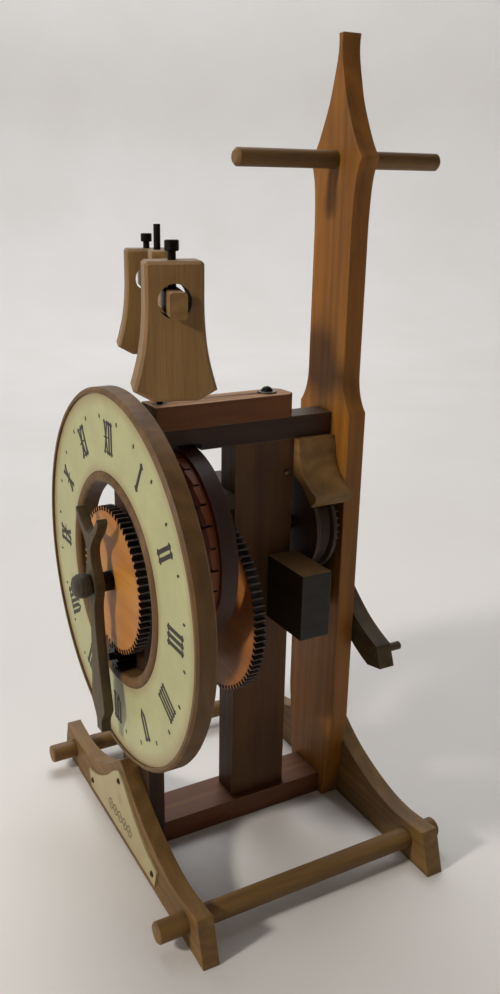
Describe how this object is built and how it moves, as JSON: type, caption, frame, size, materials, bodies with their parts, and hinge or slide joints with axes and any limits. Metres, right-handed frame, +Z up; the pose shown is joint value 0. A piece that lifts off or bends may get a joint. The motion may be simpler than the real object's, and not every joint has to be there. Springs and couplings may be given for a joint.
{
  "type": "wooden-wheel foliot table clock",
  "caption": "Open-frame wooden table clock: round dial, spoked toothed wheels, verge with a foliot bar and two bell weights, tall rear post with a cross dowel.",
  "frame": {"origin": "on the table, in the plane of symmetry, midway between the front of the front foot and the back of the rear foot", "axes": "+Z up, -Y out of the dial towards the viewer, +X to the right as the dial is read"},
  "size_m": [0.208, 0.2168, 0.431],
  "materials": {
    "bell_wood": "olive-brown wood with light worn edges",
    "black_steel": "blackened steel",
    "crown_wood": "reddish plywood ring with dark edge",
    "dark_wood": "dark stained wood, matt",
    "dial_cream": "cream dial sheet, satin, toned brown at its edges",
    "dial_rim": "brown wood rim, matt",
    "gear_wood": "orange-brown plywood with burnt dark tooth flanks",
    "hand_wood": "grey-brown wood, matt",
    "nail": "dull brown nail head",
    "oak": "open-pored brown wood, oiled",
    "plate_brass": "cream-gold name plate, satin",
    "post_wood": "brown wood, warmer front faces, oiled",
    "steel": "plain steel"
  },
  "bodies": {
    "frame": {"base_board": "oak", "front_foot": "oak", "rear_foot": "oak", "side_rod_left": "oak", "side_rod_right": "oak", "front_post": "post_wood", "middle_post": "post_wood", "rear_post": "post_wood", "cross_dowel_front": "oak", "cross_dowel_rear": "oak", "top_beam": "oak", "arm_block": "post_wood", "block_screw": "black_steel", "block_washer": "steel", "verge_bush": "steel", "name_plate": "plate_brass", "plate_nail_left": "nail", "plate_nail_top": "nail", "plate_nail_right": "nail", "dial_board": "dial_rim", "dial_face": "dial_cream", "drum_guard": "dark_wood", "side_block": "dark_wood", "post_pin": "steel", "potence": "dark_wood", "idler_bracket": "dark_wood", "crown_stud": "steel", "step_block": "dark_wood"},
    "hour_train": {"hour_hand": "hand_wood", "hand_knob": "hand_wood", "hour_arbor": "black_steel", "hour_collar": "steel", "hour_wheel": "gear_wood"},
    "motion_train": {"motion_arbor": "black_steel", "motion_wheel": "gear_wood"},
    "main_train": {"main_arbor": "steel", "great_wheel": "gear_wood", "motion_driver": "gear_wood", "ratchet_wheel": "gear_wood", "drum_pinion": "dark_wood", "crank_arm": "oak", "crank_pin": "dark_wood"},
    "click_pawl": {"click": "dark_wood"},
    "idler_train": {"idler_arbor": "black_steel", "idler_wheel": "gear_wood"},
    "crown_train": {"crown_wheel": "crown_wood", "crown_pinion": "gear_wood"},
    "drum_train": {"drum_arbor": "steel", "rope_drum": "dark_wood", "drum_wheel": "dark_wood"},
    "foliot": {"verge_staff": "black_steel", "pallet_upper": "black_steel", "pallet_lower": "black_steel", "foliot_bar": "bell_wood"},
    "left_weight": {"weight_left": "bell_wood"},
    "right_weight": {"weight_right": "bell_wood"},
    "left_screw": {"thumb_screw_left": "black_steel"},
    "right_screw": {"thumb_screw_right": "black_steel"}
  },
  "joints": [
    {"name": "crown_spin", "type": "hinge", "parent": "frame", "child": "crown_train", "pos_m": [0, -0.0342, 0.1813], "axis": [0, 1, 0], "continuous": true},
    {"name": "idler_spin", "type": "hinge", "parent": "frame", "child": "idler_train", "pos_m": [-0.02516, -0.0265, 0.19531], "axis": [0, 1, 0], "continuous": true},
    {"name": "main_spin", "type": "hinge", "parent": "frame", "child": "main_train", "pos_m": [0, -0.0147, 0.1435], "axis": [0, 1, 0], "continuous": true},
    {"name": "motion_spin", "type": "hinge", "parent": "frame", "child": "motion_train", "pos_m": [0, -0.0262, 0.1219], "axis": [0, 1, 0], "continuous": true},
    {"name": "hour_spin", "type": "hinge", "parent": "frame", "child": "hour_train", "pos_m": [0, -0.0729, 0.1663], "axis": [0, 1, 0], "continuous": true},
    {"name": "drum_spin", "type": "hinge", "parent": "frame", "child": "drum_train", "pos_m": [0, 0.0403, 0.1813], "axis": [0, 1, 0], "continuous": true},
    {"name": "click_pivot", "type": "hinge", "parent": "main_train", "child": "click_pawl", "pos_m": [0.0145, -0.0197, 0.1545], "axis": [0, 1, 0], "range_deg": [-14, 0]},
    {"name": "foliot_swing", "type": "hinge", "parent": "frame", "child": "foliot", "pos_m": [0, -0.0465, 0.3136], "axis": [0, 0, 1], "range_deg": [-40, 40]},
    {"name": "left_weight_slide", "type": "slide", "parent": "foliot", "child": "left_weight", "axis": [-0.9455, 0.3256, 0], "range_m": [-0.038, 0.012]},
    {"name": "right_weight_slide", "type": "slide", "parent": "foliot", "child": "right_weight", "axis": [0.9455, -0.3256, 0], "range_m": [-0.038, 0.012]},
    {"name": "left_screw_turn", "type": "hinge", "parent": "left_weight", "child": "left_screw", "pos_m": [-0.0617, -0.02526, 0.33], "axis": [0, 0, 1], "range_deg": [-90, 90]},
    {"name": "right_screw_turn", "type": "hinge", "parent": "right_weight", "child": "right_screw", "pos_m": [0.0617, -0.06774, 0.33], "axis": [0, 0, 1], "range_deg": [-90, 90]}
  ],
  "couplings": [
    {"joint": "idler_spin", "follows": "crown_spin", "ratio": -0.33333},
    {"joint": "main_spin", "follows": "crown_spin", "ratio": 0.047619},
    {"joint": "motion_spin", "follows": "crown_spin", "ratio": -0.02381},
    {"joint": "hour_spin", "follows": "crown_spin", "ratio": 0.0037202},
    {"joint": "drum_spin", "follows": "crown_spin", "ratio": -0.035714}
  ]
}
